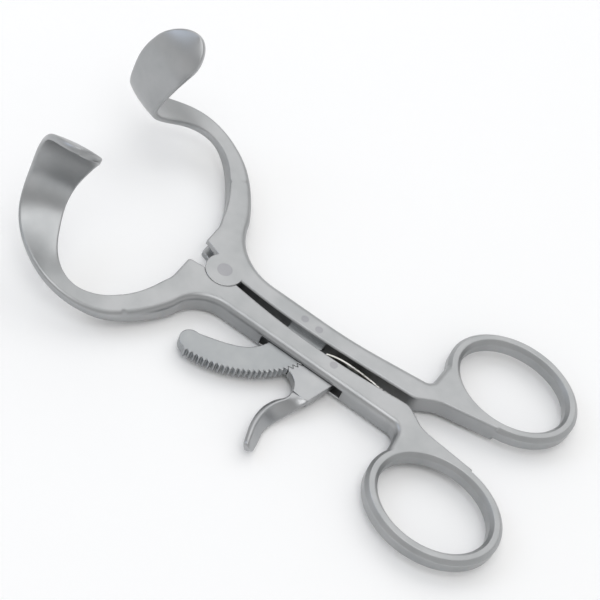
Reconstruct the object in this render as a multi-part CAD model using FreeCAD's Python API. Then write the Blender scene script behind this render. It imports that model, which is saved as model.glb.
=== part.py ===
"""A ratchet mouth gag in stainless steel: two box-jointed arms with finger rings and turned-up blades.

The origin is where the pivot axis meets the plane that the shanks rest on. X runs along the
shanks to the finger rings, Y across from the lower arm to the upper arm, and Z up, as the blades rise.
The arms are placed as they are held with the rings nearly squeezed together and the jaws open.
"""
import FreeCAD
import Part
import math
import os

from FreeCAD import Rotation, Vector

# Arms
ARM_T = 6.2             # thickness of the shanks and the box joint
SHANK_L = 54.0          # from the pivot to where the shanks end and the webs to the rings start
OUTER_ROUND = 1.7       # rounding of the outer edges, which lie in the hand
INNER_ROUND = 0.35      # broken edges where the two arms face each other
OVERRUN = 1.0           # how far a cut runs past the face that it leaves

# Box joint
KNUCKLE_R = 4.7         # cheek discs of the upper arm
KNUCKLE_GAP = 0.15      # cheeks to the hollow in the lower arm
TONGUE_T = 2.9          # middle layer of the lower arm
TONGUE_GAP = 0.1        # tongue to each cheek
RIVET_D = 3.7
RUNNING_GAP = 0.05      # radial clearance of a pin that something turns on
SEAT_GAP = 0.01         # radial clearance of a pin that is fixed
FORK_DEG = 151.0        # step of the fork, from +X about the pivot
SHOULDER_DEG = 160.5    # shoulder of the lower arm that the step meets when the jaws shut, drawn mirrored
FORK_SLOT_DEG = 17.0    # how far the fork's slot runs back behind its step
FORK_SLOT_R = 14.0      # reach of the fork's slot, past the arm's outer wall
SHOULDER_PAST = 4.05    # from the knuckle out to the shoulder's corner
FORK_PAST = 4.6         # from the knuckle out to the step's corner
SPLIT_X = 4.6           # where the shanks' facing walls start, inside the knuckle

# Finger rings
RING_W = 3.1            # across the ring's bar
RING_T = 4.8            # height of the ring's bar, flush with the tops of the shanks
RING_BEVEL = 1.1
RING_LAND = 1.3         # flat left along the top of the bar
RING_SEMI = (15.45, 12.5)
LOWER_RING = (SHANK_L + 17.6, -20.6)
UPPER_RING = (SHANK_L + 16.9, 20.85)
WEB_END_DEG = 281.0     # where a web's inner wall runs into its ring, about the ring's centre
WEB_FROM_DEG = 185.0    # where a web's outer wall runs into its ring
RELIEF_FROM = -7.0      # start of the thinning under the web, past the shank's end
RELIEF_RUN = 11.0       # length over which the web thins to the ring

# Jaws
JAW_RISE = 0.26         # slope of the bows, rising from the joint towards the blades
JAW_RISE_FROM = -10.5   # X where they start to rise
JAW_EASE = 3.0          # length over which the rise sets in
BLADE_T = 1.5
BLADE_W = 8.4           # across the blade at its foot
BLADE_BELLY = 3.4       # how much wider it is halfway up
BLADE_ROUND = 0.6
BLADE_FOOT = (-38.2, 24.8)  # where the bow starts to turn up into the blade
BLADE_TURN_DEG = 26.0   # fold line against the X axis
BLADE_TWIST_DEG = 11.0  # how far the blade turns back towards the X axis halfway up
BLADE_LEAN_DEG = 10.0   # how far the blade leans from upright towards the joint
FOOT_ROLL_DEG = 26.0    # how far the foot leans over, with its inner edge up
ROLL_LEN = 14.0         # length over which that goes out of the blade
FOLD_R = 5.0            # middle surface of the fold
FOLD_DEG = 65.0
BLADE_R = 35.5          # lower part of the blade, up to its waist
WAIST_DEG = 85.0
CURL_R = 16.7           # upper part, which curls away from the other jaw
BLADE_END_DEG = 150.0
TIP_LEN = 6.5           # length over which the blade's end is rounded
TIP_SHARES = (0.0, 0.4, 0.7, 0.88, 0.985)
FOLD_STEPS = 3
BLADE_STEPS = 3
CURL_STEPS = 3

# Ratchet bar
PLATE_T = 2.6           # ratchet bar and release lever
RATCHET_CENTRE = (4.3, 1.7)
RATCHET_R = 26.1        # over the tooth tips
RATCHET_X = RATCHET_CENTRE[0] + RATCHET_R   # how far the teeth reach along the shanks
TOOTH_DEG = 2.8
TOOTH_DEPTH = 0.85
TOOTH_LEAN = 0.3        # share of the pitch under the steep flank
TOOTH_LAND = 0.12       # share of the pitch along the tip
TOOTH_FOOT = 0.3        # how deep a tooth is rooted in what carries it
TEETH_FROM_DEG = -15.0  # where the bar comes out of the upper shank
TEETH_TO_DEG = -88.0    # its last tooth
BAR_TIP_DEG = 2.0       # how far its end runs on behind that tooth
PAWL_DEG = -30.8        # gap under the pawl's lowest tooth
TEETH_ABOVE = 5         # ratchet teeth above that gap
PAWL_TEETH = 3
MESH_GAP = 0.18         # pawl teeth to ratchet teeth, out from the ratchet
ROOT_W = 9.6            # the bar's square root, let into the upper shank
ROOT_D = 5.2
ROOT_Y = -2.0           # lower end of the root
ROOT_BACK = 0.8         # from the reach of the teeth back to the root's edge
RATCHET_RIVET_D = 1.9
RATCHET_RIVETS = ((RATCHET_X - 8.2, 1.5), (RATCHET_X - 4.0, 1.2))

# Slot in the lower arm, and the release lever in it
SLOT_GAP = 0.2          # above and below the bar and the lever
SLOT_BEFORE = 13.7      # from the reach of the teeth back to the slot's end
SLOT_D = 12.0           # past the shank's width
LEVER_PIN = (RATCHET_X + 3.9, -4.9)
LEVER_PIN_D = 1.9
SLOT_PAST = 5.2         # from the lever pin to the slot's end

# Leaf spring
SPRING_T = 0.45
SPRING_H = 4.4
SPRING_LIFT = 0.04      # strip above the wall that it is held against
SPRING_TAIL = 1.8       # strip held against the wall each side of its rivet
SPRING_RIVET_X = SHANK_L - 4.0
SPRING_SHANK_D = 1.2
SPRING_SHANK_L = 2.1    # rivet in the wall
SPRING_HEAD = (1.1, 0.35)   # radius and height of the rivet's head
SPRING_HEAD_ROUND = 0.2
SPRING_HEAD_GAP = 0.02

MID_Z = ARM_T / 2
PIVOT = Vector(0, 0, 0)

# Facing walls of the two shanks in plan: shank end, waist and joint. The lower arm is drawn mirrored.
BEND_R = 8.0            # bend of the web
SHANK_END_R = 4.0       # bend from the web into the shank
WAIST_R = 170.0         # the long shallow curve along the shank
LOWER_WALL = ((SHANK_L, 1.75), (27.5, 4.5), (SPLIT_X, 1.6))
UPPER_WALL = ((SHANK_L - 0.1, 0.75), (20.0, -1.25), (SPLIT_X, 0.0))


def polar(radius, degrees, centre=(0.0, 0.0)):
    """A point at a radius and an angle about a centre."""
    a = math.radians(degrees)
    return (centre[0] + radius * math.cos(a), centre[1] + radius * math.sin(a))


def shifted(points, origin):
    """Plan points given from an origin."""
    return [(origin[0] + x, origin[1] + y) for x, y in points]


def flat(points, z=0.0):
    """Plan points as vectors at one height."""
    return [Vector(x, y, z) for x, y in points]


def spline(points):
    """A smooth edge through a few points."""
    curve = Part.BSplineCurve()
    curve.interpolate(points)
    return curve.toShape()


def line(a, b):
    """A straight edge."""
    return Part.LineSegment(a, b).toShape()


def arc(points):
    """An arc through three plan points."""
    return Part.Arc(*flat(points)).toShape()


def chain(points, closed=False):
    """Straight runs with a tangent arc at each point (x, y, radius). Radius 0 stays sharp."""
    corners = [p if isinstance(p[0], Vector) else (Vector(p[0], p[1], 0), p[2]) for p in points]
    count = len(corners)
    stops = []
    for i, (corner, radius) in enumerate(corners):
        if radius == 0 or (not closed and i in (0, count - 1)):
            stops.append((corner, None, corner))
            continue
        back = (corners[i - 1][0] - corner).normalize()
        ahead = (corners[(i + 1) % count][0] - corner).normalize()
        half = back.getAngle(ahead) / 2
        reach = radius / math.tan(half)
        crown = corner + (back + ahead).normalize() * (radius / math.sin(half) - radius)
        stops.append((corner + back * reach, crown, corner + ahead * reach))
    edges = []
    for i, (start, crown, end) in enumerate(stops):
        if crown is not None:
            edges.append(Part.Arc(start, crown, end).toShape())
        follows = stops[(i + 1) % count][0]
        if (closed or i < count - 1) and end.distanceToPoint(follows) > 1e-7:
            edges.append(line(end, follows))
    return edges


def slab(wire, low, high):
    """A flat wire at height zero made into a plate from low to high."""
    face = Part.Face(wire)
    face.translate(Vector(0, 0, low))
    return face.extrude(Vector(0, 0, high - low))


def disc(radius, low, high, centre=(0.0, 0.0)):
    """A round plate, or the cut for a round hole."""
    return Part.makeCylinder(radius, high - low, Vector(centre[0], centre[1], low))


def bore(diameter, gap, centre=(0.0, 0.0)):
    """The cut for a pin through the whole thickness of an arm."""
    return disc(diameter / 2 + gap, -OVERRUN, ARM_T + OVERRUN, centre)


def plate_z(thickness):
    """Low and high of a layer in the middle of the arms."""
    return MID_Z - thickness / 2, MID_Z + thickness / 2


# Stations along a bow, from the joint out to the fold: inner wall and outer wall in plan,
# thickness, rounding of the outer edges, and lean in degrees, with the inner edge up
BOW = (
    ((-9.0, 12.5), (-2.8, 15.0), ARM_T, OUTER_ROUND, 0),
    ((-11.1, 18.4), (-5.6, 20.95), 5.2, 1.6, 0),
    ((-13.7, 22.9), (-9.6, 26.7), 4.2, 1.4, 0),
    ((-17.5, 27.4), (-15.0, 31.6), 3.2, 1.2, 0),
    ((-22.3, 30.1), (-22.1, 34.2), 2.5, 0.9, 0),
    ((-27.1, 29.7), (-29.2, 34.2), 2.1, 0.8, 2),
    ((-30.7, 27.6), (-35.2, 32.2), 1.9, 0.7, 9),
    ((-33.0, 25.2), (-38.7, 29.3), 1.7, 0.6, 18),
)


def bow_height(x):
    """Height of the top of a bow above the tops of the shanks: level, then a steady rise."""
    past = max(0.0, JAW_RISE_FROM - x)
    return JAW_RISE * (past - JAW_EASE * (1 - math.exp(-past / JAW_EASE)))


def jaw_section(middle, across, up, width, thick, outer_round):
    """A jaw's section, centred on its top face: broken inner edges and rounded outer edges."""
    half, broken = width / 2, INNER_ROUND
    outline = [(-half + broken, 0, 0), (half, 0, outer_round), (half, -thick, outer_round),
               (-half + broken, -thick, 0), (-half, -thick + broken, 0), (-half, -broken, 0)]
    return Part.Wire(chain([(middle + across * u + up * v, r) for u, v, r in outline], True))


def bow_sections():
    """Sections of the bow, each square to its middle line in plan and to its rise."""
    sections = []
    for inner, outer, thick, outer_round, lean in BOW:
        a = Vector(inner[0], inner[1], ARM_T + bow_height(inner[0]))
        b = Vector(outer[0], outer[1], ARM_T + bow_height(outer[0]))
        slope = bow_height(inner[0]) - bow_height(inner[0] + 1)
        across = (b - a).normalize()
        up = Vector(slope, 0, 1).normalize()
        up = (up - across * up.dot(across)).normalize()
        roll = Rotation(up.cross(across), lean)
        sections.append(jaw_section((a + b) * 0.5, roll.multVec(across), roll.multVec(up), (b - a).Length,
                                    thick, outer_round))
    return sections


def blade_marks():
    """Headings round the fold and up the blade, each with the radius of the stretch that leads to it."""
    tip_deg = math.degrees(TIP_LEN / CURL_R)
    round_from = BLADE_END_DEG - tip_deg
    marks = [(FOLD_DEG * k / FOLD_STEPS, FOLD_R) for k in range(FOLD_STEPS + 1)]
    lower_step = (WAIST_DEG - FOLD_DEG) / BLADE_STEPS
    upper_step = (round_from - WAIST_DEG) / CURL_STEPS
    marks += [(FOLD_DEG + lower_step * k, BLADE_R) for k in range(1, BLADE_STEPS + 1)]
    marks += [(WAIST_DEG + upper_step * k, CURL_R) for k in range(1, CURL_STEPS)]
    marks += [(round_from + tip_deg * share, CURL_R) for share in TIP_SHARES]
    return marks


def blade_sections():
    """Sections round the fold and up the blade, whose hollow back faces away from the other jaw."""
    turn, lean = math.radians(BLADE_TURN_DEG), math.radians(BLADE_LEAN_DEG)
    level = Vector(-math.cos(turn), math.sin(turn), 0)
    normal = Vector(math.sin(lean), 0, math.cos(lean))
    across = Vector(level.x * math.cos(lean), level.y, -level.x * math.sin(lean)).normalize()
    normal = (normal - across * normal.dot(across)).normalize()
    outward = across.cross(normal)
    fold_len = FOLD_R * math.radians(FOLD_DEG)
    upright_len = BLADE_R * math.radians(WAIST_DEG - FOLD_DEG)
    upright_len += CURL_R * math.radians(BLADE_END_DEG - WAIST_DEG)
    place = Vector(*BLADE_FOOT, ARM_T + bow_height(BLADE_FOOT[0]) - BLADE_T / 2)
    sections, heading, gone = [], 0.0, 0.0
    for degrees, radius in blade_marks():
        a0, a1 = math.radians(heading), math.radians(degrees)
        place = place - outward * (radius * (math.sin(a1) - math.sin(a0)))
        place = place + normal * (radius * (math.cos(a0) - math.cos(a1)))
        gone += radius * (a1 - a0)
        heading = degrees
        belly = math.sin(math.pi * gone / (fold_len + upright_len))
        turned = BLADE_TWIST_DEG * math.sin(math.pi * max(0.0, gone - fold_len) / upright_len)
        leaned = FOOT_ROLL_DEG * max(0.0, 1 - gone / ROLL_LEN)
        past = max(0.0, 1 - (fold_len + upright_len - gone) / TIP_LEN)
        width = (BLADE_W + BLADE_BELLY * belly) * math.sqrt(1 - past ** 2)
        along = normal * math.sin(a1) - outward * math.cos(a1)
        twist = Rotation(along, turned + leaned)
        face_up = twist.multVec(normal * math.cos(a1) + outward * math.sin(a1))
        sections.append(jaw_section(place + face_up * (BLADE_T / 2), twist.multVec(across), face_up,
                                    width, BLADE_T, BLADE_ROUND))
    return sections


def jaw():
    """The upper jaw: a bow that thins as it rises, folds up and ends in a hollow blade."""
    bow, blade = bow_sections(), blade_sections()
    return Part.makeLoft(bow + blade[:1], True, False).fuse(Part.makeLoft(blade, True, False))


def finger_ring(centre):
    """An oval ring with a bevelled bar, its land flush with the tops of the shanks."""
    half, land = RING_W / 2, RING_LAND / 2
    top, low = ARM_T, ARM_T - RING_T
    x = centre[0] + RING_SEMI[0]
    outline = [(land, top), (half, top - RING_BEVEL), (half, low + RING_BEVEL), (land, low),
               (-land, low), (-half, low + RING_BEVEL), (-half, top - RING_BEVEL), (-land, top)]
    section = Part.Wire(chain([(Vector(x + u, centre[1], v), 0) for u, v in outline], True))
    return Part.Wire(oval(centre).toShape()).makePipeShell([section], True, True)


def oval(centre):
    """The middle line of a ring's bar."""
    return Part.Ellipse(Vector(centre[0], centre[1], 0), *RING_SEMI)


def oval_point(centre, degrees):
    """A point on the middle line of a ring's bar."""
    a = math.radians(degrees)
    return (centre[0] + RING_SEMI[0] * math.cos(a), centre[1] + RING_SEMI[1] * math.sin(a))


def oval_arc(centre):
    """Part of a ring's middle line, which closes a web's outline inside the ring's bar."""
    return Part.ArcOfEllipse(oval(centre), math.radians(WEB_FROM_DEG), math.radians(WEB_END_DEG)).toShape()


def rim_edges(solid, outline):
    """The top and bottom edges of a plate that stand over the given outline edges."""
    middles = [e.valueAt((e.FirstParameter + e.LastParameter) / 2) for e in outline]
    found = []
    for edge in solid.Edges:
        box = edge.BoundBox
        spots = [Part.Vertex(Vector(m.x, m.y, box.ZMin)) for m in middles]
        if box.ZLength < 1e-6 and any(edge.distToShape(spot)[0] < 1e-3 for spot in spots):
            found.append(edge)
    return found


def arm_plate(outer, inner, left, closing):
    """Joint, shank and web as one plate, with rounded outer edges and broken inner edges."""
    root = [line(*flat([left[-1][:2], outer[0][:2]]))]
    outer, inner, left = chain(outer), chain(inner), chain(left)
    plate = slab(Part.Wire(root + outer + [closing] + inner + left), 0, ARM_T)
    plate = plate.makeFillet(OUTER_ROUND, rim_edges(plate, outer))
    return plate.makeChamfer(INNER_ROUND, rim_edges(plate, inner[1:-1] + left[1:]))


def ring_relief(ring):
    """What is taken off under the web, so that it thins from the shank to the ring."""
    drop = ARM_T - RING_T
    start, end = SHANK_L + RELIEF_FROM, SHANK_L + RELIEF_FROM + RELIEF_RUN
    far_x, far_y = ring[0] + 2 * RING_SEMI[0], ring[1] + math.copysign(2 * RING_SEMI[1], ring[1])
    profile = [Vector(start, 0, -OVERRUN), Vector(start, 0, 0), Vector(end, 0, drop),
               Vector(far_x, 0, drop), Vector(far_x, 0, -OVERRUN)]
    return Part.Face(Part.makePolygon(profile + profile[:1])).extrude(Vector(0, far_y, 0))


def square_run(start, y):
    """The plan point at y on the run that leaves the jaw's root squarely, so that they meet flush."""
    (x0, y0), (x1, y1) = BOW[0][:2]
    return (start[0] + (start[1] - y) * (y1 - y0) / (x1 - x0), y)


def facing_wall(ring, web, bend, wall):
    """The inner wall from the ring to the joint: web, bend at the shank's end, and the shallow waist."""
    end, waist, joint = wall
    return [(*oval_point(ring, WEB_END_DEG), 0), (*web, 0), (*bend, BEND_R), (*end, SHANK_END_R),
            (*waist, WAIST_R), (*joint, 0)]


def lower_plate():
    """The lower arm but for its jaw and ring. Its outline is drawn mirrored."""
    inner_root, outer_root = BOW[0][:2]
    ring = (LOWER_RING[0], -LOWER_RING[1])
    outer = [(*outer_root, 0), (*square_run(outer_root, 8.6), 9.0), (SHANK_L + 1.1, 8.7, 2.4),
             (*oval_point(ring, WEB_FROM_DEG), 0)]
    inner = facing_wall(ring, (SHANK_L + 20.0, 6.8), (SHANK_L + 5.5, 5.35), LOWER_WALL)
    left = [(*LOWER_WALL[-1], 0), (*polar(KNUCKLE_R + SHOULDER_PAST, SHOULDER_DEG), 0.8),
            (*square_run(inner_root, 10.5), 6.0), (*inner_root, 0)]
    plate = arm_plate(outer, inner, left, oval_arc(ring))
    return plate.mirror(PIVOT, Vector(0, 1, 0))


def upper_plate():
    """The upper arm but for its jaw, ring and knuckle."""
    inner_root, outer_root = BOW[0][:2]
    outer = [(*outer_root, 0), (*square_run(outer_root, 4.9), 15.0), (34.0, 4.75, 110.0),
             (SHANK_L + 1.0, 7.4, 2.0), (*oval_point(UPPER_RING, WEB_FROM_DEG), 0)]
    inner = facing_wall(UPPER_RING, (SHANK_L + 19.5, 7.1), (SHANK_L + 5.5, 4.15), UPPER_WALL)
    left = [(*UPPER_WALL[-1], 0), (*polar(KNUCKLE_R + FORK_PAST, FORK_DEG), 0),
            (*square_run(inner_root, 10.5), 6.0), (*inner_root, 0)]
    return arm_plate(outer, inner, left, oval_arc(UPPER_RING))


def sector(radius, first_deg, last_deg, low, high):
    """A wedge about the pivot."""
    first, middle, last = (polar(radius, d) for d in (first_deg, (first_deg + last_deg) / 2, last_deg))
    edges = [line(*flat([(0, 0), first])), arc([first, middle, last]), line(*flat([last, (0, 0)]))]
    return slab(Part.Wire(edges), low, high)


def lower_arm():
    """Shank, ring, jaw and tongue of the lower arm, with the slot that the ratchet runs in."""
    body = lower_plate().cut(ring_relief(LOWER_RING))
    body = body.fuse([finger_ring(LOWER_RING), jaw().mirror(PIVOT, Vector(0, 1, 0))])
    low, high = plate_z(TONGUE_T)
    hollow = KNUCKLE_R + KNUCKLE_GAP
    body = body.cut([disc(hollow, -OVERRUN, low), disc(hollow, high, ARM_T + OVERRUN)])
    body = body.fuse(disc(KNUCKLE_R - KNUCKLE_GAP, low, high))
    slot_low, slot_high = plate_z(PLATE_T + 2 * SLOT_GAP)
    slot_from, slot_to = RATCHET_X - SLOT_BEFORE, LEVER_PIN[0] + SLOT_PAST
    corner = Vector(slot_from, -SLOT_D, slot_low)
    slot = Part.makeBox(slot_to - slot_from, SLOT_D, slot_high - slot_low, corner)
    hole = spring_pin(SPRING_SHANK_D / 2 + SEAT_GAP, OVERRUN, SPRING_SHANK_L + SEAT_GAP)
    return body.cut([slot, hole, bore(RIVET_D, RUNNING_GAP), bore(LEVER_PIN_D, SEAT_GAP, LEVER_PIN)])


def upper_arm():
    """Shank, ring, jaw and forked cheeks of the upper arm, with the mortise that holds the ratchet."""
    body = upper_plate().cut(ring_relief(UPPER_RING))
    body = body.fuse([finger_ring(UPPER_RING), jaw(), disc(KNUCKLE_R, 0, ARM_T)])
    low, high = plate_z(TONGUE_T + 2 * TONGUE_GAP)
    fork = disc(KNUCKLE_R + KNUCKLE_GAP, low, high)
    fork = fork.fuse(sector(FORK_SLOT_R, FORK_DEG - FORK_SLOT_DEG, FORK_DEG + 1, low, high))
    cuts = [fork, ratchet_root(SEAT_GAP), bore(RIVET_D, SEAT_GAP)]
    return body.cut(cuts + [bore(RATCHET_RIVET_D, SEAT_GAP, place) for place in RATCHET_RIVETS])


def ratchet_root(gap):
    """The square root of the ratchet bar inside the upper shank, grown by a gap."""
    low, high = plate_z(PLATE_T + 2 * gap)
    corner = Vector(RATCHET_X - ROOT_BACK - ROOT_W - gap, ROOT_Y, low)
    return Part.makeBox(ROOT_W + 2 * gap, ROOT_D + gap, high - low, corner)


# The bar's inner edge: angle about the ratchet's centre, and how far inside the tooth tips
BAR_INNER = ((-9.8, 10.2), (-26.9, 9.1), (-40.2, 7.65), (-52.2, 7.0), (-64.6, 6.95), (-77.5, 6.75),
             (-87.4, 6.1))
BAR_HOOK = (-95.4, 2.7)     # the same for the middle of its rounded end


def on_bar(degrees, inside):
    """A plan point on the bar by its angle and its depth inside the tooth tips."""
    return polar(RATCHET_R - inside, degrees, RATCHET_CENTRE)


def ratchet_bar():
    """The toothed bar: a curved plate with saw teeth on its outer edge, rooted in the upper arm."""
    low, high = plate_z(PLATE_T)
    inner = [on_bar(*mark) for mark in BAR_INNER]
    middle_deg = (TEETH_FROM_DEG + TEETH_TO_DEG) / 2
    end = on_bar(TEETH_TO_DEG - BAR_TIP_DEG, TOOTH_DEPTH)
    top = on_bar(TEETH_FROM_DEG, TOOTH_DEPTH)
    shoulder = (RATCHET_X - ROOT_BACK, inner[0][1])
    edges = [spline(flat(inner)), arc([inner[-1], on_bar(*BAR_HOOK), end]),
             arc([end, on_bar(middle_deg, TOOTH_DEPTH), top]), line(*flat([top, shoulder])),
             line(*flat([shoulder, inner[0]]))]
    count = int((TEETH_FROM_DEG - TEETH_TO_DEG) / TOOTH_DEG)
    teeth = [ratchet_tooth(PAWL_DEG - TOOTH_DEG * k, low, high)
             for k in range(-TEETH_ABOVE, count - TEETH_ABOVE)]
    bar = slab(Part.Wire(edges), low, high).fuse([ratchet_root(0)] + teeth)
    return bar.cut([bore(RATCHET_RIVET_D, SEAT_GAP, place) for place in RATCHET_RIVETS]).removeSplitter()


def ratchet_tooth(degrees, low, high):
    """One tooth standing on the bar's root circle: steep on the side that the pawl holds."""
    foot, crest, behind = TOOTH_DEPTH + TOOTH_FOOT, degrees - TOOTH_LEAN * TOOTH_DEG, degrees - TOOTH_DEG
    outline = [on_bar(degrees, foot), on_bar(degrees, TOOTH_DEPTH), on_bar(crest, 0),
               on_bar(crest - TOOTH_LAND * TOOTH_DEG, 0), on_bar(behind, TOOTH_DEPTH), on_bar(behind, foot)]
    corners = flat(outline)
    return slab(Part.makePolygon(corners + corners[:1]), low, high)


# The lever's outline in plan, from its pin
LEVER_LEFT = ((-5.7, -8.2), (-4.4, -9.7), (-3.8, -11.9))
LEVER_RIGHT = ((0.3, -11.9), (1.2, -8.5), (2.3, -4.6), (3.6, 0.5), (3.8, 1.9))
LEVER_HEEL = ((3.8, 1.9), (3.4, 2.9), (2.3, 2.6))
LEVER_BACK = ((-1.7, 2.0), (-3.3, 0.9), (-4.1, -1.5))
PAWL_NOSE_DEG = 1.0     # pawl's edge past its lowest tooth

# Stations of the finger tab: plan place from the lever's pin, direction across it, width in plan, height
TAB = (
    ((-1.7, -11.5), 0.0, 4.1, 2.6),
    ((-2.3, -14.1), -14.0, 3.9, 2.6),
    ((-3.6, -18.1), -16.0, 3.4, 3.1),
    ((-4.5, -21.7), -4.0, 2.5, 4.0),
    ((-4.4, -25.1), 12.0, 1.9, 4.8),
    ((-3.6, -28.6), 16.0, 1.7, 5.0),
    ((-2.8, -31.5), 16.0, 1.5, 4.4),
)
TAB_CORNER = 0.3        # corner rounding as a share of the section's smaller side


def release_lever():
    """The sprung lever: a toothed pawl in the slot, a heel under the spring, and a twisted finger tab."""
    low, high = plate_z(PLATE_T)
    nose_deg, shelf_deg = PAWL_DEG - PAWL_NOSE_DEG, PAWL_DEG + TOOTH_DEG * PAWL_TEETH
    nose, middle, shelf = (on_bar(d, -MESH_GAP) for d in (nose_deg, (nose_deg + shelf_deg) / 2, shelf_deg))
    left, right, heel, back = (shifted(points, LEVER_PIN) for points in
                               (LEVER_LEFT, LEVER_RIGHT, LEVER_HEEL, LEVER_BACK))
    edges = [arc([shelf, middle, nose]), spline(flat([nose] + left)), line(*flat([left[-1], right[0]])),
             spline(flat(right)), arc(heel), line(*flat([heel[-1], back[0]])), spline(flat(back + [shelf]))]
    teeth = [pawl_tooth(PAWL_DEG + TOOTH_DEG * k, low, high) for k in range(PAWL_TEETH)]
    lever = slab(Part.Wire(edges), low, high).fuse(teeth + [finger_tab()])
    return lever.cut(bore(LEVER_PIN_D, RUNNING_GAP, LEVER_PIN)).removeSplitter()


def pawl_tooth(degrees, low, high):
    """A tooth of the pawl: the gap between two ratchet teeth, moved out by the mesh gap."""
    widen = (TOOTH_DEPTH + TOOTH_FOOT) / TOOTH_DEPTH * TOOTH_DEG
    base = -MESH_GAP - TOOTH_FOOT
    corners = flat([on_bar(degrees, TOOTH_DEPTH - MESH_GAP), on_bar(degrees - TOOTH_LEAN * widen, base),
                    on_bar(degrees + (1 - TOOTH_LEAN - TOOTH_LAND) * widen, base)])
    return slab(Part.makePolygon(corners + corners[:1]), low, high)


def tab_section(middle, across, up, width, height):
    """A four-sided section of the finger tab with rounded corners."""
    edge = min(width, height) * TAB_CORNER
    sides = [(1, 1), (1, -1), (-1, -1), (-1, 1)]
    corners = [(middle + across * (u * width / 2) + up * (v * height / 2), edge) for u, v in sides]
    return Part.Wire(chain(corners, True))


def finger_tab():
    """The tab that a finger pushes: flat where it leaves the slot and upright at its end."""
    wires = []
    for (dx, dy), turn_deg, width, height in TAB:
        turn = math.radians(turn_deg)
        across = Vector(math.cos(turn), math.sin(turn), 0)
        middle = Vector(LEVER_PIN[0] + dx, LEVER_PIN[1] + dy, MID_Z)
        wires.append(tab_section(middle, across, Vector(0, 0, 1), width, height))
    return Part.makeLoft(wires, True, False)


def spring_wall():
    """The slope of the lower arm's inner wall under the spring's fixed end, and a point at the rivet."""
    (end_x, end_y), (waist_x, waist_y) = LOWER_WALL[:2]
    slope = (waist_y - end_y) / (end_x - waist_x)
    return slope, Vector(SPRING_RIVET_X, -end_y - (end_x - SPRING_RIVET_X) * slope, MID_Z)


def spring_pin(radius, above, below):
    """A round pin square to that wall, from above it to below it."""
    slope, seat = spring_wall()
    off = Vector(-slope, 1, 0).normalize()
    return Part.makeCylinder(radius, above + below, seat + off * above, off * -1)


# The spring's free stretch in plan, from the lever's pin: hump, crest over the heel, and end
SPRING_FREE = ((8.7, 3.15), (3.3, 3.4), (-0.1, 3.1), (-3.1, 2.15))


def leaf_spring():
    """A thin strip, held at its ring end and bowed over the lever's heel."""
    half = SPRING_T / 2
    slope, seat = spring_wall()
    held = [(seat.x + dx, seat.y + dx * slope + half + SPRING_LIFT) for dx in (SPRING_TAIL, 0, -SPRING_TAIL)]
    path = held + shifted(SPRING_FREE, LEVER_PIN)
    top = flat([(x, y + half) for x, y in path])
    bottom = flat([(x, y - half) for x, y in path])
    edges = [spline(top), line(top[-1], bottom[-1]), spline(bottom), line(bottom[0], top[0])]
    low, high = plate_z(SPRING_H)
    return slab(Part.Wire(edges), low, high).cut(spring_pin(SPRING_SHANK_D / 2 + SEAT_GAP, ARM_T, ARM_T))


def spring_rivet():
    """The small rivet that holds the spring to the lower arm."""
    radius, height = SPRING_HEAD
    seat = SPRING_LIFT + SPRING_T + SPRING_HEAD_GAP
    head = spring_pin(radius, seat + height, -seat)
    rim = max((e for e in head.Edges if e.Closed), key=lambda e: e.CenterOfMass.y)
    shank = spring_pin(SPRING_SHANK_D / 2, seat, SPRING_SHANK_L)
    return head.makeFillet(SPRING_HEAD_ROUND, [rim]).fuse(shank)


def through_rivet(diameter, place):
    """A rivet finished flush with both faces of an arm."""
    return disc(diameter / 2, 0, ARM_T, place)


def nodes():
    """Every piece by its node's name."""
    return {
        "lower_arm": lower_arm(),
        "upper_arm": upper_arm(),
        "pivot_rivet": through_rivet(RIVET_D, (0, 0)),
        "ratchet_bar": ratchet_bar(),
        "ratchet_rivets": Part.makeCompound([through_rivet(RATCHET_RIVET_D, p) for p in RATCHET_RIVETS]),
        "release_lever": release_lever(),
        "lever_pin": through_rivet(LEVER_PIN_D, LEVER_PIN),
        "leaf_spring": leaf_spring(),
        "spring_rivet": spring_rivet(),
    }


def main():
    """Builds each piece and writes its STEP file."""
    os.makedirs("parts", exist_ok=True)
    for name, shape in nodes().items():
        print(name, "solids", len(shape.Solids), "valid", shape.isValid(), "volume", round(shape.Volume, 1))
        shape.exportStep(f"parts/{name}.step")


main()
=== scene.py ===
"""Mouth gag in bead-blasted stainless steel: finishes, drawn-out jaws and finger tab, and a pale studio."""
import logging
import math
from dataclasses import dataclass, field
from enum import Enum

import bmesh
import bpy
import numpy as np
from mathutils import Matrix, Vector


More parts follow.
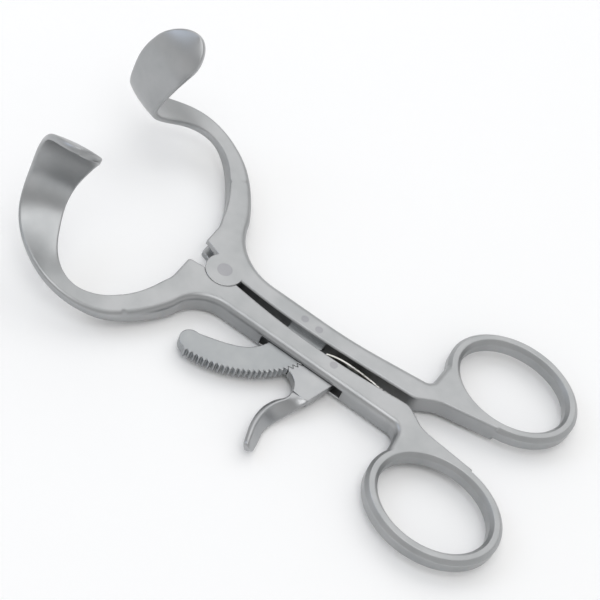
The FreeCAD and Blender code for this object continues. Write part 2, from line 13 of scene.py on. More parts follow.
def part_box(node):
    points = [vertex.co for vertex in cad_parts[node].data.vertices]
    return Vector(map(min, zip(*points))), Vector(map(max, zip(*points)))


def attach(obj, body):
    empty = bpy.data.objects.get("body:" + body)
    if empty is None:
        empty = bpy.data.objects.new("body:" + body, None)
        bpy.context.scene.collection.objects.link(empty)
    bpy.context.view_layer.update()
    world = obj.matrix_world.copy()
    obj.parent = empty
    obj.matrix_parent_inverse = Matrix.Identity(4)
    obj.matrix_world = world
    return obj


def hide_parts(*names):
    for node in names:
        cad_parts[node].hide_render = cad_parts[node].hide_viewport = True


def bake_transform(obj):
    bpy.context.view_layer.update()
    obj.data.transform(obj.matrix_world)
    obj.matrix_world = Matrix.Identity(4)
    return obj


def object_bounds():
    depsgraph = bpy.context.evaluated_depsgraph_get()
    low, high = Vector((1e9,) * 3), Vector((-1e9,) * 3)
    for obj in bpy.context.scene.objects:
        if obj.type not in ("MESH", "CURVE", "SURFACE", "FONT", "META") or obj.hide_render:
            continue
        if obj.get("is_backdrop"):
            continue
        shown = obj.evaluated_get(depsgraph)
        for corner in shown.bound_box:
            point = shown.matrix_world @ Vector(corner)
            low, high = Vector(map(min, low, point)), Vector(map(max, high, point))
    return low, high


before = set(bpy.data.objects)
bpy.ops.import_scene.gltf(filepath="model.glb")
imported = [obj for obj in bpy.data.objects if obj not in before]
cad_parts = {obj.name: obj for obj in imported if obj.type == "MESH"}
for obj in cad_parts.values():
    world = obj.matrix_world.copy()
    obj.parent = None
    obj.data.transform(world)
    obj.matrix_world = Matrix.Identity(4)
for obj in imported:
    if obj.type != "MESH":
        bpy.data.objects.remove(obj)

LOG = logging.getLogger("mouth_gag")
MM = 0.001
SAME_M = 2e-7                    # vertices nearer than this are one
ON_PLANE_M = 1e-7                # and these lie on a cut's plane
SHARP_EDGE = math.radians(40)    # faces that meet more steeply than this keep a sharp edge


class Body(Enum):
    """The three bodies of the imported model."""

    LOWER_ARM = "lower_arm"
    UPPER_ARM = "upper_arm"
    LEVER = "lever"


class Lay(Enum):
    """How the fine marks of a finish lie."""

    GRAIN = "even grain"
    LENGTHWISE = "lines along X"


def linear(hex_colour: str) -> tuple[float, float, float, float]:
    """Turns an sRGB hex colour into a linear one.

    Args:
        hex_colour: six hex digits after a hash sign.

    Returns:
        Red, green, blue and an alpha of 1.
    """
    parts = [int(hex_colour[k:k + 2], 16) / 255 for k in (1, 3, 5)]
    flat = [p / 12.92 if p <= 0.04045 else ((p + 0.055) / 1.055) ** 2.4 for p in parts]
    return flat[0], flat[1], flat[2], 1.0


def add_node(tree: bpy.types.NodeTree, kind: str, inputs: dict | None = None, **settings) -> bpy.types.Node:
    """Adds a node with its settings, and sets or links its inputs.

    Args:
        tree: the node tree.
        kind: the node's type name.
        inputs: input name or number, to a value or to the output socket that feeds it.
        **settings: the node's own properties.

    Returns:
        The new node.
    """
    node = tree.nodes.new(kind)
    for name, value in settings.items():
        setattr(node, name, value)
    for key, value in (inputs or {}).items():
        if isinstance(value, bpy.types.NodeSocket):
            tree.links.new(value, node.inputs[key])
        else:
            node.inputs[key].default_value = value
    return node


def per_metre(size_mm: float) -> float:
    """Returns the texture scale at which one repeat of a pattern is size_mm long."""
    return 1.0 / (size_mm * MM)


@dataclass(frozen=True)
class SteelFinish:
    """One way of finishing stainless steel: its tone, its gloss, its fine marks, and its worn edges, whose
    lighter colour is partly a painted highlight.
    """

    name: str
    tone: str                    # reflected colour, sRGB
    shade: str                   # the same in the duller patches, sRGB
    edge: str                    # where handling has polished an edge, and partly a painted highlight along every edge, hollow ones too, sRGB
    roughness: float
    edge_roughness: float
    mark_mm: float               # spacing of the fine marks
    mark_depth_mm: float
    lay: Lay = Lay.GRAIN
    stretch: float = 30.0        # length of a line over its width, where the marks are lines
    patch_mm: float = 9.0        # size of the duller patches
    patch_span: tuple[float, float] = (0.35, 0.7)     # noise levels between which a patch comes in
    gloss_span: float = 0.05     # how far the roughness strays either way
    edge_mm: float = 0.45        # width of the polished edge
    edge_span: tuple[float, float] = (0.995, 0.80)    # cosines of the lean between which an edge comes in
    flush_mm: tuple[tuple[float, float, float], ...] = ()   # flush pins: X, Y and radius

    def marks(self, tree: bpy.types.NodeTree, place: bpy.types.NodeSocket) -> bpy.types.NodeSocket:
        """Builds the height of the fine marks.

        Even grain is noise of the marks' size, and lines are the same noise drawn out along X.

        Args:
            tree: the material's nodes.
            place: the object coordinates.

        Returns:
            The height, from 0 to 1.
        """
        drawn = (1.0 / self.stretch, 1.0, 1.0) if self.lay is Lay.LENGTHWISE else (1.0, 1.0, 1.0)
        moved = add_node(tree, "ShaderNodeVectorMath", {0: place, 1: drawn}, operation="MULTIPLY")
        grain = add_node(tree, "ShaderNodeTexNoise", {"Vector": moved.outputs[0], "Detail": 2.0,
                         "Scale": per_metre(self.mark_mm), "Roughness": 0.6})
        return grain.outputs["Fac"]

    def edges(self, tree: bpy.types.NodeTree,
              place: bpy.types.NodeSocket) -> tuple[bpy.types.NodeSocket, bpy.types.NodeSocket]:
        """Finds the edges: where a normal averaged over the edge's width leans away from the true one.

        Round a flush pin the true normal stays, because pin and arm are ground together as one face.

        Args:
            tree: the material's nodes.
            place: the object coordinates.

        Returns:
            The averaged normal, and how much of an edge a place is, from 0 to 1.
        """
        soft = add_node(tree, "ShaderNodeBevel", {"Radius": self.edge_mm * MM}, samples=6)
        true = add_node(tree, "ShaderNodeNewGeometry").outputs["Normal"]
        normal = soft.outputs[0]
        level = add_node(tree, "ShaderNodeVectorMath", {0: place, 1: (1.0, 1.0, 0.0)}, operation="MULTIPLY")
        for x, y, radius in self.flush_mm:
            away = add_node(tree, "ShaderNodeVectorMath", {0: level.outputs[0], 1: (x * MM, y * MM, 0.0)},
                            operation="DISTANCE")
            clear = add_node(tree, "ShaderNodeMapRange", {"Value": away.outputs["Value"],
                             "From Min": (radius + self.edge_mm) * MM,
                             "From Max": (radius + 1.3 * self.edge_mm) * MM})
            normal = add_node(tree, "ShaderNodeMix", {0: clear.outputs[0], 4: true, 5: normal},
                              data_type="VECTOR").outputs[1]
        lean = add_node(tree, "ShaderNodeVectorMath", {0: normal, 1: true}, operation="DOT_PRODUCT")
        amount = add_node(tree, "ShaderNodeMapRange", {"Value": lean.outputs["Value"],
                          "From Min": self.edge_span[0], "From Max": self.edge_span[1]})
        return normal, amount.outputs[0]

    def build(self) -> bpy.types.Material:
        """Builds the material on object coordinates.

        Returns:
            The material, named for the finish.
        """
        material = bpy.data.materials.new(self.name)
        material.use_nodes = True
        tree = material.node_tree
        tree.nodes.clear()
        place = add_node(tree, "ShaderNodeTexCoord").outputs["Object"]
        marks = self.marks(tree, place)
        soft_normal, edge = self.edges(tree, place)
        patches = add_node(tree, "ShaderNodeTexNoise", {"Vector": place, "Scale": per_metre(self.patch_mm),
                           "Detail": 4.0, "Roughness": 0.55}).outputs["Fac"]
        patch = add_node(tree, "ShaderNodeMapRange", {"Value": patches, "From Min": self.patch_span[0],
                         "From Max": self.patch_span[1]}).outputs[0]
        tone = add_node(tree, "ShaderNodeMix", {"Factor": patch, 6: linear(self.tone),
                        7: linear(self.shade)}, data_type="RGBA")
        # The edge colour lightens every edge, convex or hollow: partly polish from handling, partly a painted
        # highlight.
        colour = add_node(tree, "ShaderNodeMix", {"Factor": edge, 6: tone.outputs[2],
                          7: linear(self.edge)}, data_type="RGBA")
        dull = add_node(tree, "ShaderNodeMapRange", {"Value": patches,
                        "To Min": self.roughness - self.gloss_span,
                        "To Max": self.roughness + self.gloss_span})
        gloss = add_node(tree, "ShaderNodeMix", {"Factor": edge, "A": dull.outputs[0],
                         "B": self.edge_roughness})
        bump = add_node(tree, "ShaderNodeBump", {"Height": marks, "Normal": soft_normal, "Strength": 1.0,
                        "Distance": self.mark_depth_mm * MM})
        shader = add_node(tree, "ShaderNodeBsdfPrincipled", {"Base Color": colour.outputs[2],
                          "Metallic": 1.0, "Roughness": gloss.outputs[0], "Normal": bump.outputs[0]})
        add_node(tree, "ShaderNodeOutputMaterial", {"Surface": shader.outputs[0]})
        return material


RATCHET_RIVET_MM = 1.9           # across each of the two rivets that share a node


def pin_spots() -> tuple[tuple[float, float, float], ...]:
    """Reads from the model where pins end flush with the arms' faces.

    Returns:
        X, Y and radius of each, in mm: the pivot, the lever's pin, and the ratchet's two rivets, which
        stand at the near left and the far right of their box.
    """
    spots = []
    for node in ("pivot_rivet", "lever_pin"):
        low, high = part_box(node)
        spots.append(((low[0] + high[0]) / 2 / MM, (low[1] + high[1]) / 2 / MM, (high[0] - low[0]) / 2 / MM))
    low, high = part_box("ratchet_rivets")
    half = RATCHET_RIVET_MM / 2
    left, right = low[0] / MM + half, high[0] / MM - half
    near, far = low[1] / MM + half, high[1] / MM - half
    return (*spots, (left, far, half), (right, near, half))


# The grain and lines of each finish are some 0.02 to 0.05 mm apart on real steel. That is too fine to show,
# so they are drawn 0.12 to 0.3 mm apart.

# Bead-blasted 420 stainless steel: an even satin that spreads every highlight, with no direction
BLASTED = SteelFinish(
    "bead_blasted_stainless_steel", "#ACADAE", "#A1A3A4", "#BFC0C1", roughness=0.36, edge_roughness=0.27,
    mark_mm=0.30, mark_depth_mm=0.004, flush_mm=pin_spots())
# Rivet and pin ends ground flush: slightly duller discs in the blasted faces, with no worn rim
FLUSH = SteelFinish(
    "flush_ground_pin_steel", "#9F9FA2", "#97989B", "#9F9FA2", roughness=0.40, edge_roughness=0.40,
    mark_mm=0.25, mark_depth_mm=0.003, edge_mm=0.03)
# Milled ratchet steel, blasted after cutting: the same satin with a faint draw of the cutter
MILLED = SteelFinish(
    "milled_ratchet_steel", "#A7A9AA", "#9C9FA1", "#BBBCBD", roughness=0.38, edge_roughness=0.27,
    mark_mm=0.22, mark_depth_mm=0.004, lay=Lay.LENGTHWISE, stretch=8.0)
# The lever, forged and polished by the finger that presses it: smoother than the arms
HANDLED = SteelFinish(
    "finger_polished_lever_steel", "#ADAEAF", "#A2A4A6", "#C4C6C7", roughness=0.31, edge_roughness=0.24,
    mark_mm=0.30, mark_depth_mm=0.003)
# Rolled spring strip, left as rolled: fine lines along its length and a brighter, slightly warm face
ROLLED = SteelFinish(
    "rolled_spring_strip", "#CBCAC6", "#BBBAB5", "#D6D5D1", roughness=0.30, edge_roughness=0.22,
    mark_mm=0.12, mark_depth_mm=0.002, lay=Lay.LENGTHWISE, stretch=40.0, patch_mm=5.0, edge_mm=0.1)


def dress(node: str, finish: SteelFinish) -> None:
    """Puts a finish on a CAD node.

    Args:
        node: the node's name.
        finish: its finish.
    """
    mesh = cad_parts[node].data
    material = bpy.data.materials.get(finish.name) or finish.build()
    mesh.materials.clear()
    mesh.materials.append(material)
    LOG.info("%s: %s", node, finish.name)


@dataclass(frozen=True)
class Station:
    """A place along a ribbon of steel, in mm: both edges of its face, its wall and its rounded edges."""

    inner: tuple[float, float, float]
    outer: tuple[float, float, float]
    wall: float
    outer_round: float
    inner_round: float = 0.35
    hollow: float = 0.0          # how deep the face is dished halfway across

    def numbers(self) -> list[float]:
        """Returns the station as one row of numbers."""
        return [*self.inner, *self.outer, self.wall, self.outer_round, self.inner_round, self.hollow]


@dataclass(frozen=True)
class Ribbon:
    """A strip drawn out through stations, as a smith draws out, bends and rounds the end of a forging."""

    stations: tuple[Station, ...]    # the first only gives the direction at the second
    end_mm: float                    # length over which the end is rounded
    mirrored: bool = False           # over the XZ plane
    weld_mm: float = 0.8             # from the root's plane to the first row
    even_mm: float = 3.4             # reach of the evening along the strip
    rows: int = 150
    end_rows: int = 22
    face_points: int = 11
    corner_points: int = 6
    closed_share: float = 0.97       # share of the last quarter turn before the fan closes the end
    most_round: float = 0.48         # an edge's radius over the wall, at most

    def places(self) -> tuple[np.ndarray, np.ndarray]:
        """Works out where the rows lie.

        Rows are even up to the rounded end, and there they follow the sine of an even angle, so that they
        close up where the outline turns fastest.

        Returns:
            The stations' distances along the middle line, and the rows' distances along it.
        """
        numbers = np.array([station.numbers() for station in self.stations])
        middle = (numbers[:, 0:3] + numbers[:, 3:6]) / 2
        marks = np.concatenate([[0.0], np.cumsum(np.linalg.norm(np.diff(middle, axis=0), axis=1))])
        even = np.linspace(marks[1] + self.weld_mm, marks[-1] - self.end_mm, self.rows)
        turn = np.linspace(0.0, self.closed_share * math.pi / 2, self.end_rows)[1:]
        return marks, np.concatenate([even, marks[-1] - self.end_mm * (1 - np.sin(turn))])

    def drawn(self, marks: np.ndarray, rows: np.ndarray) -> np.ndarray:
        """Draws the stations' numbers out along the rows.

        Between two stations each number is the cubic with their values and slopes at its ends: with t from
        0 to 1 between them, h = 3 t^2 - 2 t^3 blends the values, and t (1 - t)^2 and t^2 (t - 1), times
        the distance, carry the slopes. The rows are then averaged along the strip with bells exp(-(d/r)^2)
        of reach r, narrower near both ends, so that the bends run into each other without a ripple.

        Args:
            marks: the stations' distances.
            rows: the rows' distances.

        Returns:
            One line of numbers for each row.
        """
        known = np.array([station.numbers() for station in self.stations])
        slopes = np.gradient(known, marks, axis=0)
        k = np.clip(np.searchsorted(marks, rows, side="right") - 1, 0, len(marks) - 2)
        gap = (marks[k + 1] - marks[k])[:, None]
        t = (rows - marks[k])[:, None] / gap
        h = t * t * (3 - 2 * t)
        drawn = (known[k] * (1 - h) + known[k + 1] * h
                 + gap * (t * (1 - t) ** 2 * slopes[k] + t * t * (t - 1) * slopes[k + 1]))
        reach = np.minimum(self.even_mm, 0.4 * np.minimum(rows - rows[0], rows[-1] - rows) + 0.02)
        bell = np.exp(-((rows[:, None] - rows[None, :]) / reach[:, None]) ** 2) * np.gradient(rows)[None, :]
        return bell @ drawn / bell.sum(axis=1)[:, None]

    def section(self, width: np.ndarray, wall: np.ndarray, outer_round: np.ndarray, inner_round: np.ndarray,
                hollow: np.ndarray) -> tuple[np.ndarray, np.ndarray]:
        """Works out the outline of every section at once.

        The outline runs over the face, round the outer edge as two quarter circles, back under the wall and
        round the inner edge. The whole section is then dished by hollow * 4 s (1 - s), with s the share of
        the way across.

        Args:
            width: across the face, one number for each row, as are the rest.
            wall: thickness.
            outer_round: radius at the outer edge.
            inner_round: radius at the inner edge.
            hollow: depth of the dish.

        Returns:
            How far each point lies across from the inner edge, and how far above the face.
        """
        most = self.most_round * np.minimum(width, wall)
        ro, ri = np.minimum(outer_round, most)[:, None], np.minimum(inner_round, most)[:, None]
        w, t = width[:, None], wall[:, None]
        share = (0.5 - 0.5 * np.cos(np.linspace(0, math.pi, self.face_points)))[None, :]
        quarter = np.linspace(0, math.pi / 2, self.corner_points)[None, 1:-1]
        c, s = np.cos(quarter), np.sin(quarter)
        over = ri + (w - ri - ro) * share
        level = np.zeros_like(over)
        across = [over, w - ro + ro * s, w - ro + ro * c, over[:, ::-1], ri - ri * s, ri - ri * c]
        above = [level, -ro + ro * c, -t + ro - ro * s, level - t, -t + ri - ri * c, -ri + ri * s]
        p, q = np.concatenate(across, axis=1), np.concatenate(above, axis=1)
        part = np.clip(p / w, 0, 1)
        return p, q - hollow[:, None] * 4 * part * (1 - part)

    def mesh(self, name: str) -> bpy.types.Mesh:
        """Makes the closed surface.

        A point of a section is the row's inner edge, plus its distance across along the line between the
        edges, plus its height along the normal, which is that line crossed with the middle line's
        direction. Near the end the width shrinks as the root of 1 - s^2, with s the share of the rounded
        length, and the end is closed by a fan round its middle. The root stays open, to be joined.

        Args:
            name: the mesh's name.

        Returns:
            The mesh, in metres.
        """
        marks, rows = self.places()
        numbers = self.drawn(marks, rows)
        inner, outer = numbers[:, 0:3], numbers[:, 3:6]
        middle = (inner + outer) / 2
        along = np.gradient(middle, rows, axis=0)
        across = outer - inner
        width = np.linalg.norm(across, axis=1)
        across = across / width[:, None]
        normal = np.cross(across, along)
        normal /= np.linalg.norm(normal, axis=1)[:, None]
        gone = np.clip((rows - marks[-1] + self.end_mm) / self.end_mm, 0, 1)
        width = width * np.sqrt(1 - gone ** 2)
        edge = middle - across * width[:, None] / 2
        p, q = self.section(width, *numbers[:, 6:].T)
        grid = edge[:, None, :] + across[:, None, :] * p[..., None] + normal[:, None, :] * q[..., None]
        points = np.concatenate([grid.reshape(-1, 3), grid[-1:].mean(axis=1)]) * MM
        if self.mirrored:
            points[:, 1] *= -1
        n, m = p.shape
        i, j = np.arange(n - 1)[:, None] * m, np.arange(m)[None, :]
        after = (j + 1) % m
        quads = np.stack([i + j, i + m + j, i + m + after, i + after], axis=-1).reshape(-1, 4)
        fan = np.stack([np.full(m, n * m), (n - 1) * m + after[0], (n - 1) * m + j[0]], axis=-1)
        order = slice(None, None, -1) if self.mirrored else slice(None)
        mesh = bpy.data.meshes.new(name)
        faces = quads[:, order].tolist() + fan[:, order].tolist()
        mesh.from_pydata(points.tolist(), [], faces)
        return mesh


def put(name: str, mesh: bpy.types.Mesh, body: Body | None, finish: SteelFinish, node: str) -> bpy.types.Object:
    """Puts a piece into the scene, on its body, in place of a CAD node and in its finish.

    Args:
        name: the piece's name.
        mesh: its mesh, in place.
        body: the body that it rides on, or None to leave it on no body.
        finish: its finish.
        node: the CAD node that it stands for.

    Returns:
        The piece.
    """
    piece = bpy.data.objects.new(name, mesh)
    bpy.context.collection.objects.link(piece)
    mesh.materials.clear()
    mesh.materials.append(bpy.data.materials.get(finish.name) or finish.build())
    if body is not None:
        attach(piece, body.value)
    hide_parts(node)
    LOG.info("%s: %d faces, %s", name, len(mesh.polygons), finish.name)
    return piece


def values(items: bpy.types.bpy_prop_collection, name: str, width: int = 1,
           kind: type = float) -> np.ndarray:
    """Reads one property of all items into an array.

    Args:
        items: a mesh's vertices, loops, faces or the like.
        name: the property.
        width: how many numbers it has.
        kind: the numbers' type.

    Returns:
        One row for each item.
    """
    found = np.empty(len(items) * width, dtype=kind)
    items.foreach_get(name, found)
    return found.reshape(-1, width) if width > 1 else found


def keep_normals(mesh: bpy.types.Mesh, source: bpy.types.Mesh) -> None:
    """Gives the faces that came from a CAD mesh that mesh's own normals, also where a face was cut.

    A corner at P of a face from the triangle A, B, C has the shares v, w of B and C that solve
    P - A = v (B - A) + w (C - A) by least squares, and its normal is the three corners' normals mixed by
    them. The seam's new faces take the sum of those normals at the corners that they share with the CAD's.

    Args:
        mesh: the joined mesh, whose faces carry their CAD face's number, plus one.
        source: the CAD mesh, all triangles.
    """
    origin = values(mesh.attributes["source"].data, "value", kind=np.int32)
    face = np.repeat(origin, values(mesh.polygons, "loop_total", kind=np.int32))
    ours = face > 0
    triangle = face[ours] - 1
    corners = values(source.loops, "vertex_index", kind=np.int32).reshape(-1, 3)
    a, b, c = np.moveaxis(values(source.vertices, "co", 3)[corners[triangle]], 1, 0)
    vertex = values(mesh.loops, "vertex_index", kind=np.int32)
    place = values(mesh.vertices, "co", 3)[vertex[ours]]
    ab, ac, ap = b - a, c - a, place - a
    bb, bc, cc = (ab * ab).sum(1), (ab * ac).sum(1), (ac * ac).sum(1)
    pb, pc = (ap * ab).sum(1), (ap * ac).sum(1)
    area = np.maximum(bb * cc - bc * bc, 1e-24)
    v, w = (cc * pb - bc * pc) / area, (bb * pc - bc * pb) / area
    shares = np.clip(np.stack([1 - v - w, v, w], axis=1), 0, 1)
    theirs = values(source.corner_normals, "vector", 3).reshape(-1, 3, 3)[triangle]
    normals = values(mesh.corner_normals, "vector", 3)
    mixed = (theirs * shares[..., None]).sum(axis=1)
    mixed /= np.linalg.norm(mixed, axis=1)[:, None]
    normals[ours] = mixed
    sums = np.zeros((len(mesh.vertices), 3))
    np.add.at(sums, vertex[ours], mixed)
    seam = ~ours & (np.linalg.norm(sums[vertex], axis=1) > 1e-6)
    joined = sums[vertex[seam]]
    normals[seam] = joined / np.linalg.norm(joined, axis=1)[:, None]
    mesh.normals_split_custom_set(normals.tolist())
    mesh.attributes.remove(mesh.attributes["source"])


def everything(form: bmesh.types.BMesh) -> list:
    """Returns all vertices, edges and faces of a form, for a cut."""
    return [*form.verts, *form.edges, *form.faces]


def skin(form: bmesh.types.BMesh, name: str) -> bpy.types.Mesh:
    """Turns a form into a mesh with smooth faces and sharp edges, and frees it.

    Args:
        form: the form.
        name: the mesh's name.

    Returns:
        The mesh.
    """
    mesh = bpy.data.meshes.new(name)
    form.to_mesh(mesh)
    form.free()
    mesh.shade_smooth()
    mesh.set_sharp_from_angle(angle=SHARP_EDGE)
    return mesh


def forged(node: str, point: Vector, normal: Vector, ribbon: bpy.types.Mesh) -> bpy.types.Mesh:
    """Joins a ribbon to the part of a CAD node behind a plane, as one closed skin.

    Args:
        node: the node's name.
        point: a point of the plane, in metres.
        normal: the side of the plane that the ribbon takes over.
        ribbon: the ribbon, open at its root, which lies just past the plane.

    Returns:
        The mesh, with the CAD's normals on what came from it.
    """
    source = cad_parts[node].data
    numbered = source.copy()
    numbered.attributes.new("source", "INT", "FACE").data.foreach_set(
        "value", np.arange(1, len(source.polygons) + 1, dtype=np.int32))
    form = bmesh.new()
    form.from_mesh(numbered)
    bpy.data.meshes.remove(numbered)
    bmesh.ops.remove_doubles(form, verts=form.verts, dist=SAME_M)
    bmesh.ops.bisect_plane(form, geom=everything(form), dist=ON_PLANE_M, plane_co=point, plane_no=normal,
                           clear_outer=True)
    form.from_mesh(ribbon)
    bmesh.ops.bridge_loops(form, edges=[edge for edge in form.edges if edge.is_boundary])
    bmesh.ops.recalc_face_normals(form, faces=form.faces)
    mesh = skin(form, node + "_forging")
    keep_normals(mesh, source)
    return mesh


# The bow and the blade of a jaw, from the arm's heavy end to the blade's round tip, as in the upper arm
JAW = (
    Station((-11.1, 18.4, 6.21), (-5.6, 20.95, 6.2), 5.2, 1.6),
    Station((-13.7, 22.9, 6.52), (-9.6, 26.7, 6.2), 4.2, 1.4),
    Station((-17.5, 27.4, 7.32), (-15.0, 31.6, 6.76), 3.2, 1.2),
    Station((-22.3, 30.1, 8.5), (-22.1, 34.2, 8.45), 2.5, 0.9),
    Station((-27.0, 29.5, 9.9), (-29.2, 34.2, 10.2), 2.1, 0.8),
    Station((-30.7, 26.9, 11.8), (-35.3, 32.0, 11.2), 1.9, 0.7),
    Station((-33.2, 23.0, 13.8), (-40.2, 28.8, 12.2), 1.7, 0.6, hollow=0.1),
    Station((-35.2, 18.9, 16.6), (-43.8, 25.1, 15.0), 1.5, 0.6, hollow=0.4),
    Station((-35.0, 16.9, 20.6), (-45.3, 21.4, 19.4), 1.5, 0.6, hollow=0.7),
    Station((-33.7, 17.4, 25.0), (-45.1, 20.9, 24.2), 1.4, 0.6, hollow=0.6),
    Station((-32.4, 17.6, 29.0), (-44.9, 20.8, 29.4), 1.4, 0.6, hollow=0.6),
    Station((-30.9, 18.0, 33.0), (-43.8, 21.4, 34.2), 1.5, 0.6, hollow=0.6),
    Station((-29.3, 19.9, 36.8), (-41.5, 23.4, 38.3), 1.5, 0.6, hollow=0.5),
    Station((-28.0, 23.2, 40.2), (-38.2, 26.6, 42.0), 1.5, 0.6, hollow=0.3),
)


@dataclass
class Arm:
    """One forged arm: finger ring, shank and joint from the CAD, and its jaw drawn out in one sweep."""

    body: Body
    mirrored: bool
    jaw: tuple[Station, ...] = JAW
    tip_mm: float = 7.5
    finish: SteelFinish = BLASTED

    def root(self) -> tuple[Vector, Vector]:
        """Works out the plane of the jaw's first section.

        Returns:
            A point of it in metres, and the direction towards the blade.
        """
        side = Vector((1, -1 if self.mirrored else 1, 1))
        inner, outer = (Vector(corner) for corner in (self.jaw[1].inner, self.jaw[1].outer))
        across = outer - inner
        along = Vector((-across.y, across.x, 0)).normalized()
        return (inner + outer) / 2 * MM * side, along * side

    def build(self) -> None:
        """Builds the forging with its jaw."""
        node = self.body.value
        jaw = Ribbon(self.jaw, self.tip_mm, self.mirrored).mesh(node + "_jaw")
        put(node + "_forging", forged(node, *self.root(), jaw), self.body, self.finish, node)


@dataclass
class FlushPins:
    """The rivets and pins that end flush with the arms' faces."""

    nodes: tuple[str, ...] = ("pivot_rivet", "ratchet_rivets", "lever_pin", "spring_rivet")
    finish: SteelFinish = FLUSH

    def build(self) -> None:
        """Dresses each pin."""
        for node in self.nodes:
            dress(node, self.finish)


# The finger tab, from the lever's plate to its end: the plate's face twists upright, towards the finger
TAB = (
    Station((34.7, -15.0, 4.4), (30.3, -15.0, 4.4), 2.6, 0.3, 0.3),
    Station((34.7, -16.3, 4.4), (30.4, -16.3, 4.4), 2.6, 0.3, 0.3),
    Station((34.2, -18.4, 3.3), (30.5, -18.8, 4.6), 2.4, 0.5, 0.5),
    Station((32.9, -21.4, 2.0), (29.2, -21.8, 4.8), 2.0, 0.6, 0.5),
    Station((31.6, -24.6, 1.2), (28.5, -25.4, 5.0), 1.8, 0.6, 0.5),
    Station((30.9, -28.0, 1.0), (28.7, -29.4, 5.1), 1.6, 0.6, 0.5),
    Station((31.6, -31.6, 1.3), (29.5, -33.0, 5.1), 1.5, 0.6, 0.5),
    Station((32.2, -35.2, 1.8), (30.6, -36.4, 4.8), 1.4, 0.6, 0.5),
)


@dataclass
class ReleaseLever:
    """The sprung lever: its toothed plate from the CAD, and the twisted tab that a finger pushes."""

    tab: tuple[Station, ...] = TAB
    end_mm: float = 1.2
    weld_mm: float = 0.3
    even_mm: float = 1.0
    rows: int = 60
    end_rows: int = 8
    finish: SteelFinish = HANDLED

    def build(self) -> None:
        """Builds the lever with its tab."""
        root = self.tab[1]
        point = (Vector(root.inner) + Vector(root.outer)) / 2 * MM
        tab = Ribbon(self.tab, self.end_mm, weld_mm=self.weld_mm, even_mm=self.even_mm, rows=self.rows,
                     end_rows=self.end_rows).mesh("finger_tab")
        lever = forged("release_lever", point, Vector((0, -1, 0)), tab)
        put("release_lever_forging", lever, Body.LEVER, self.finish, "release_lever")


@dataclass
class RatchetDrive:
    """The toothed bar, and the strip spring that holds the lever in its teeth."""

    bar: SteelFinish = MILLED
    spring: SteelFinish = ROLLED
    clamped_mm: tuple[float, float, float] = (47.5, -2.5, 3.1)    # where the strip leaves its rivet
    pushed_mm: tuple[float, float, float] = (38.0, -2.5, 3.1)     # where the lever's heel bears on it
    cuts: int = 12                                                # across the stretch that bends

    def strip(self) -> bpy.types.Mesh:
        """Copies the CAD's strip as one skin, cut across so that it can bend.

        Returns:
            The strip's mesh.
        """
        form = bmesh.new()
        form.from_mesh(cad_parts["leaf_spring"].data)
        bmesh.ops.remove_doubles(form, verts=form.verts, dist=SAME_M)
        for x in np.linspace(self.pushed_mm[0], self.clamped_mm[0], self.cuts):
            bmesh.ops.bisect_plane(form, geom=everything(form), dist=ON_PLANE_M, plane_co=(x * MM, 0, 0),
                                   plane_no=(1, 0, 0))
        return skin(form, "leaf_spring_strip")

    def build(self) -> None:
        """Dresses the bar, and builds the spring, cut across where it bends from its rivet to the lever's heel.
        """
        dress("ratchet_bar", self.bar)
        strip = put("leaf_spring_strip", self.strip(), None, self.spring, "leaf_spring")
        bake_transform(strip)


@dataclass(frozen=True)
class Lamp:
    """A soft box that faces the middle of the object."""

    name: str
    azimuth: float               # degrees; 0 is on the -Y side, 90 on the -X side
    elevation: float             # degrees above the floor
    distance_mm: float
    size_mm: tuple[float, float]
    radiance: float              # brightness of its face, where 1 is white
    tint: str = "#FFFFFF"

    def build(self, aim: Vector) -> None:
        """Makes the lamp.

        An area lamp of power P and area A that shines evenly has a face of radiance P / (pi A).

        Args:
            aim: the point that it faces, in metres.
        """
        width, height = (side * MM for side in self.size_mm)
        light = bpy.data.lights.new(self.name, "AREA")
        light.shape = "RECTANGLE"
        light.size, light.size_y = width, height
        light.energy = self.radiance * math.pi * width * height
        light.color = linear(self.tint)[:3]
        turn, rise = math.radians(self.azimuth), math.radians(self.elevation)
        out = Vector((-math.sin(turn) * math.cos(rise), -math.cos(turn) * math.cos(rise), math.sin(rise)))
        lamp = bpy.data.objects.new(self.name, light)
        lamp.matrix_world = (Matrix.Translation(aim + out * self.distance_mm * MM)
                             @ out.to_track_quat("Z", "Y").to_matrix().to_4x4())
        bpy.context.collection.objects.link(lamp)


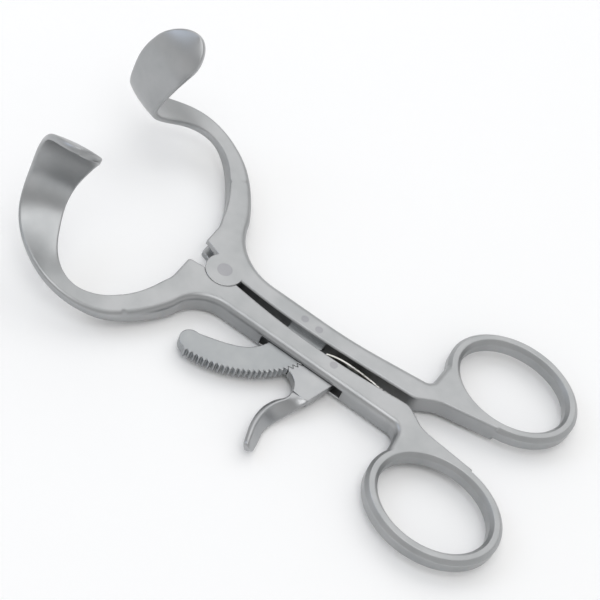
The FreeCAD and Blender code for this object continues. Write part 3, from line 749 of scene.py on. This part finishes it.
@dataclass
class Studio:
    """A pale floor, soft boxes and a camera at the photograph's angle."""

    picture_px: float = 600.0
    focal_px: float = 1900.0
    sensor_mm: float = 36.0
    pivot_px: tuple[float, float] = (224.9, 269.6)      # where the pivot's top shows in the picture
    pivot_top_mm: tuple[float, float, float] = (0.0, 0.0, 6.2)
    distance_mm: float = 447.06                         # from the pivot to the lens, along the view
    tilt_deg: float = -39.5
    roll_deg: float = -25.1
    turn_deg: float = -12.2
    floor_mm: float = 6000.0
    floor_drop_mm: float = 0.02
    floor_colour: str = "#FFFFFF"
    wall: float = 0.95                                  # brightness of the room at the horizon
    ceiling: float = 0.52                               # and from fade_height up, as a direction's Z
    fade_height: float = 0.7
    lamps: list[Lamp] = field(default_factory=lambda: [
        Lamp("back_box", 160.0, 54.0, 900.0, (1200.0, 700.0), 0.9),
        Lamp("front_box", -12.0, 75.0, 1000.0, (700.0, 620.0), 1.7),
        Lamp("window_box", 70.0, 40.0, 900.0, (420.0, 300.0), 1.7, "#D0DEF5"),
    ])

    def camera(self) -> None:
        """Makes the camera from the picture's own geometry.

        The world is turned about Z, tilted about X and rolled about the view; the pivot's top then lies at
        its pixel's offset from the middle, times the distance over the focal length.
        """
        turned = (Matrix.Rotation(math.radians(self.roll_deg), 3, "Z")
                  @ Matrix.Rotation(math.radians(self.tilt_deg), 3, "X")
                  @ Matrix.Rotation(math.radians(self.turn_deg), 3, "Z"))
        right = (self.pivot_px[0] - self.picture_px / 2) / self.focal_px
        down = (self.pivot_px[1] - self.picture_px / 2) / self.focal_px
        seen = Vector((right, -down, -1.0)) * self.distance_mm
        place = (Vector(self.pivot_top_mm) - turned.transposed() @ seen) * MM
        data = bpy.data.cameras.new("photo_camera")
        data.sensor_width = self.sensor_mm
        data.lens = self.focal_px / self.picture_px * self.sensor_mm
        data.clip_start, data.clip_end = 0.01, 20.0
        camera = bpy.data.objects.new("photo_camera", data)
        camera.matrix_world = Matrix.Translation(place) @ turned.transposed().to_4x4()
        bpy.context.collection.objects.link(camera)
        bpy.context.scene.camera = camera

    def floor(self) -> None:
        """Makes the pale matt floor that the object lies on."""
        half = self.floor_mm / 2 * MM
        drop = -self.floor_drop_mm * MM
        mesh = bpy.data.meshes.new("floor")
        corners = [(-half, -half, drop), (half, -half, drop), (half, half, drop), (-half, half, drop)]
        mesh.from_pydata(corners, [], [(0, 1, 2, 3)])
        material = bpy.data.materials.new("matt_paper")
        material.use_nodes = True
        shader = material.node_tree.nodes["Principled BSDF"]
        shader.inputs["Base Color"].default_value = linear(self.floor_colour)
        shader.inputs["Roughness"].default_value = 1.0
        shader.inputs["Specular IOR Level"].default_value = 0.0
        mesh.materials.append(material)
        floor = bpy.data.objects.new("floor", mesh)
        bpy.context.collection.objects.link(floor)
        floor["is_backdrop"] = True

    def world(self) -> None:
        """Makes the room round the floor: pale walls that fade up into a dimmer ceiling."""
        world = bpy.data.worlds.new("pale_room")
        world.use_nodes = True
        tree = world.node_tree
        tree.nodes.clear()
        way = add_node(tree, "ShaderNodeTexCoord").outputs["Generated"]
        height = add_node(tree, "ShaderNodeSeparateXYZ", {0: way}).outputs["Z"]
        strength = add_node(tree, "ShaderNodeMapRange", {"Value": height, "From Max": self.fade_height,
                            "To Min": self.wall, "To Max": self.ceiling})
        light = add_node(tree, "ShaderNodeBackground", {"Color": linear("#FFFFFF"),
                         "Strength": strength.outputs[0]})
        add_node(tree, "ShaderNodeOutputWorld", {"Surface": light.outputs[0]})
        bpy.context.scene.world = world

    def build(self) -> None:
        """Builds the whole studio round the object."""
        low, high = (Vector(corner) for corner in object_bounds())
        self.camera()
        self.floor()
        self.world()
        for lamp in self.lamps:
            lamp.build((low + high) / 2)
        bpy.context.scene.view_settings.view_transform = "Standard"
        LOG.info("studio: %d lamps", len(self.lamps))


def main() -> None:
    """Builds the object's finishes and pieces, then the studio."""
    logging.basicConfig(level=logging.INFO, format="%(name)s: %(message)s")
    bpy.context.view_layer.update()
    Studio().build()
    Arm(Body.LOWER_ARM, mirrored=True).build()
    Arm(Body.UPPER_ARM, mirrored=False).build()
    FlushPins().build()
    RatchetDrive().build()
    ReleaseLever().build()


if __name__ == "__main__":
    main()
